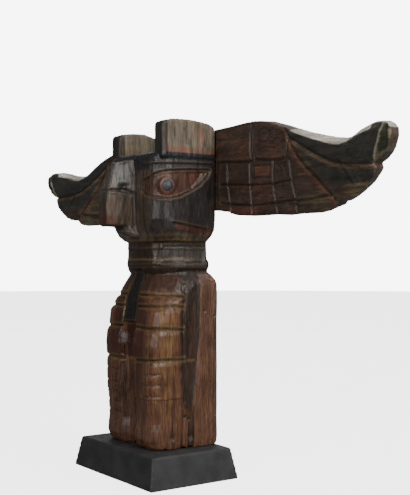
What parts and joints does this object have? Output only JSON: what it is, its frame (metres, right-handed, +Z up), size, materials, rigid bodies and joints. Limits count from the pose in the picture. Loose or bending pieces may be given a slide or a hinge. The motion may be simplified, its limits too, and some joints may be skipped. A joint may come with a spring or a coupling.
{
  "type": "totem pole",
  "caption": "Carved wooden bird totem pole: a log body with hooked beak and upright ears, two spread wing boards on its back, and a low dark plinth.",
  "frame": {"origin": "centre of the plinth's underside, on the surface that it stands on", "axes": "+X toward the bird's left wing tip, -Y the way the bird and its beak face, +Z up"},
  "size_m": [1.522, 0.2949, 0.8895],
  "materials": {
    "plinth_paint": "matte near-black paint on wood",
    "log_wood": "weathered carved wood with worn grey-blue, olive, ochre and red earth paint, semi-gloss patina",
    "wing_wood": "dark red-brown stained carved board with worn ochre and grey-green edges"
  },
  "bodies": {
    "root": {"plinth": "plinth_paint", "bird_log": "log_wood", "left_wing": "wing_wood", "right_wing": "wing_wood"}
  },
  "joints": []
}
